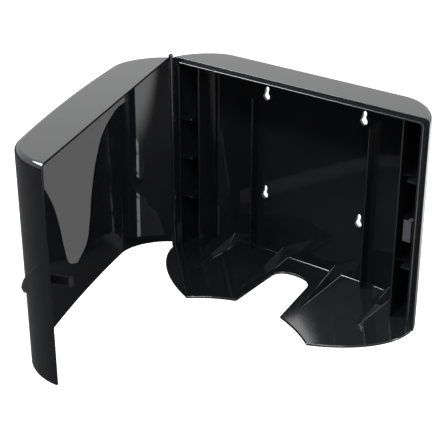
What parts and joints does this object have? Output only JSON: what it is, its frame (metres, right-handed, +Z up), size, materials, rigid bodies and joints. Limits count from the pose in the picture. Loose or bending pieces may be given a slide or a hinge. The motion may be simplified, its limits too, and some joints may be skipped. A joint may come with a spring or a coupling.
{
  "type": "napkin dispenser",
  "caption": "Wall-mounted folded napkin dispenser in gloss black plastic: ribbed back housing with notched tray, side-hinged cover swung open, snap latch.",
  "frame": {"origin": "on the flat outer back face that lies on the wall, in the middle of the four keyholes", "axes": "+Y into the wall, -Y out into the room, +X to the right as seen from the room, +Z up"},
  "size_m": [0.3623, 0.3627, 0.2546],
  "materials": {
    "housing_plastic": "polished black moulding, glossy inside and out",
    "cover_plastic": "polished black moulding, glossy inside and out",
    "pin_steel": "drawn bright steel rod",
    "keeper_steel": "grey zinc-plated pressed steel",
    "latch_plastic": "satin black acetal",
    "spring_steel": "plated spring steel"
  },
  "bodies": {
    "housing": {"back_housing": "housing_plastic", "hinge_pin_upper": "pin_steel", "hinge_pin_lower": "pin_steel", "latch_keeper": "keeper_steel"},
    "cover": {"front_cover": "cover_plastic", "latch_pin": "pin_steel", "latch_spring": "spring_steel", "latch_clip": "spring_steel"},
    "latch": {"latch_lever": "latch_plastic"}
  },
  "joints": [
    {"name": "cover_hinge", "type": "hinge", "parent": "housing", "child": "cover", "pos_m": [-0.1662, -0.0494, 0], "axis": [0, 0, -1], "range_deg": [-70.4, 50]},
    {"name": "latch_release", "type": "hinge", "parent": "cover", "child": "latch", "pos_m": [-0.08574, -0.35109, -0.0295], "axis": [0, 0, 1], "range_deg": [0, 7], "stiffness_Nm_per_rad": 0.04, "springref_deg": -5.73}
  ]
}
